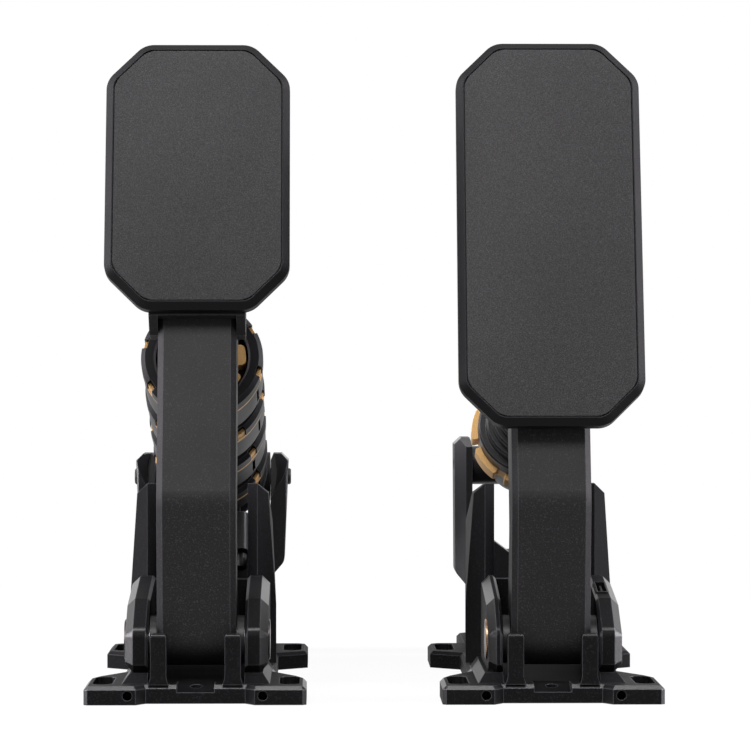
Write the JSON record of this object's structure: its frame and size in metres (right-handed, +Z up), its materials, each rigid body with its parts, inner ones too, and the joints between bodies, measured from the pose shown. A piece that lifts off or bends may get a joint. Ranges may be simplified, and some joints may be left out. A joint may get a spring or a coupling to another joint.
{
  "type": "sim racing pedal set",
  "caption": "Sim racing pedal set: a load-cell brake on an elastomer stack and a sprung throttle, each arm with a bevelled octagonal face on its own slotted base.",
  "frame": {"origin": "on the floor, midway between the two bases, at the middle of the bases' length", "axes": "+Z up, -Y to the driver, +X to the driver's right: the brake stands at -X, the throttle at +X"},
  "size_m": [0.247, 0.27, 0.2847],
  "materials": {
    "base_metal": "fine bead-blasted and anodised nearly black",
    "arm_metal": "fine bead-blasted and anodised dark grey",
    "face_metal": "anodised dark grey with bright bevels",
    "pad_rubber": "matt dark sheet",
    "steel": "bright turned steel",
    "black_steel": "black oxide",
    "bronze": "turned bronze",
    "gold": "anodised gold",
    "stack_black": "anodised black",
    "elastomer": "matt polyurethane",
    "spring_steel": "black coated wire",
    "plastic": "moulded black"
  },
  "bodies": {
    "bases": {"brake_base": "base_metal", "throttle_base": "base_metal", "brake_hub_left": "base_metal", "brake_hub_right": "base_metal", "throttle_hub_left": "base_metal", "throttle_hub_right": "base_metal", "brake_yoke": "base_metal", "throttle_yoke": "base_metal", "base_screws": "black_steel", "pivot_bushes": "bronze", "pivot_washers": "black_steel", "pivot_caps": "bronze", "trunnion_stubs": "black_steel", "throttle_socket": "plastic", "sensor_cap": "plastic"},
    "brake_arm": {"brake_arm": "arm_metal", "brake_axle": "steel", "brake_front_pin": "steel", "brake_plate_bracket": "arm_metal", "brake_bracket_screws": "black_steel", "brake_face_plate": "face_metal", "brake_face_screws": "black_steel", "brake_face_pad": "pad_rubber"},
    "throttle_arm": {"throttle_arm": "arm_metal", "throttle_axle": "steel", "throttle_front_pin": "steel", "throttle_plate_bracket": "arm_metal", "throttle_bracket_screws": "black_steel", "throttle_face_plate": "face_metal", "throttle_face_screws": "black_steel", "throttle_face_pad": "pad_rubber", "sensor_magnet": "steel"},
    "brake_strut_end": {"brake_trunnion": "stack_black", "load_cell": "steel", "brake_socket": "plastic", "stack_ring_4": "stack_black", "stack_disc_4": "gold", "stack_cup_4": "stack_black", "elastomer_3": "elastomer"},
    "brake_rod": {"brake_rod": "steel", "stack_ring_1": "stack_black", "stack_disc_1": "gold", "stack_cup_1": "stack_black"},
    "stack_stage_2": {"stack_ring_2": "stack_black", "stack_disc_2": "gold", "stack_cup_2": "stack_black", "elastomer_1": "elastomer"},
    "stack_stage_3": {"stack_ring_3": "stack_black", "stack_disc_3": "gold", "stack_cup_3": "stack_black", "elastomer_2": "elastomer"},
    "brake_knob": {"brake_knob": "gold"},
    "throttle_strut_end": {"throttle_trunnion": "stack_black", "damper_tube": "steel"},
    "throttle_rod": {"throttle_rod": "steel", "throttle_spring": "spring_steel"},
    "preload_wheel": {"preload_wheel": "gold"},
    "spring_cup": {"spring_seat": "stack_black", "spring_cup": "stack_black"}
  },
  "joints": [
    {"name": "brake_press", "type": "hinge", "parent": "bases", "child": "brake_arm", "pos_m": [-0.0762, -0.101, 0.025], "axis": [-1, 0, 0], "range_deg": [0, 6], "stiffness_Nm_per_rad": 400, "springref_deg": -1.72},
    {"name": "throttle_press", "type": "hinge", "parent": "bases", "child": "throttle_arm", "pos_m": [0.0762, -0.101, 0.025], "axis": [-1, 0, 0], "range_deg": [0, 15], "stiffness_Nm_per_rad": 25, "springref_deg": -4.58},
    {"name": "brake_strut_tilt", "type": "hinge", "parent": "bases", "child": "brake_strut_end", "pos_m": [-0.0762, 0.117, 0.087], "axis": [-1, 0, 0], "range_deg": [0, 0.7696]},
    {"name": "brake_rod_slide", "type": "slide", "parent": "brake_strut_end", "child": "brake_rod", "axis": [0, 0.9371, -0.3491], "range_m": [0, 0.01443], "deforming": ["elastomer_1", "elastomer_2", "elastomer_3"]},
    {"name": "stage_2_slide", "type": "slide", "parent": "brake_strut_end", "child": "stack_stage_2", "axis": [0, 0.9371, -0.3491], "range_m": [0, 0.00962]},
    {"name": "stage_3_slide", "type": "slide", "parent": "brake_strut_end", "child": "stack_stage_3", "axis": [0, 0.9371, -0.3491], "range_m": [0, 0.00481]},
    {"name": "brake_knob_turn", "type": "hinge", "parent": "brake_rod", "child": "brake_knob", "pos_m": [-0.0762, -0.03964, 0.14536], "axis": [0, 0.9371, -0.3491], "range_deg": [0, 360]},
    {"name": "throttle_strut_tilt", "type": "hinge", "parent": "bases", "child": "throttle_strut_end", "pos_m": [0.0762, 0.117, 0.0925], "axis": [-1, 0, 0], "range_deg": [0, 1.11]},
    {"name": "throttle_rod_slide", "type": "slide", "parent": "throttle_strut_end", "child": "throttle_rod", "axis": [0, 0.9453, -0.3263], "range_m": [0, 0.03655], "deforming": ["throttle_spring"]},
    {"name": "preload_wheel_turn", "type": "hinge", "parent": "spring_cup", "child": "preload_wheel", "pos_m": [0.0762, 0.06964, 0.10885], "axis": [0, 0.9453, -0.3263], "range_deg": [0, 1440]},
    {"name": "spring_cup_slide", "type": "slide", "parent": "throttle_strut_end", "child": "spring_cup", "axis": [0, -0.9453, 0.3263], "range_m": [0, 0.008]}
  ],
  "couplings": [
    {"joint": "brake_strut_tilt", "follows": "brake_press", "ratio": 0.12576},
    {"joint": "brake_rod_slide", "follows": "brake_press", "m_per_rad": 0.13511},
    {"joint": "stage_2_slide", "follows": "brake_press", "m_per_rad": 0.090073},
    {"joint": "stage_3_slide", "follows": "brake_press", "m_per_rad": 0.045037},
    {"joint": "throttle_strut_tilt", "follows": "throttle_press", "ratio": 0.072735},
    {"joint": "throttle_rod_slide", "follows": "throttle_press", "m_per_rad": 0.13687}
  ]
}
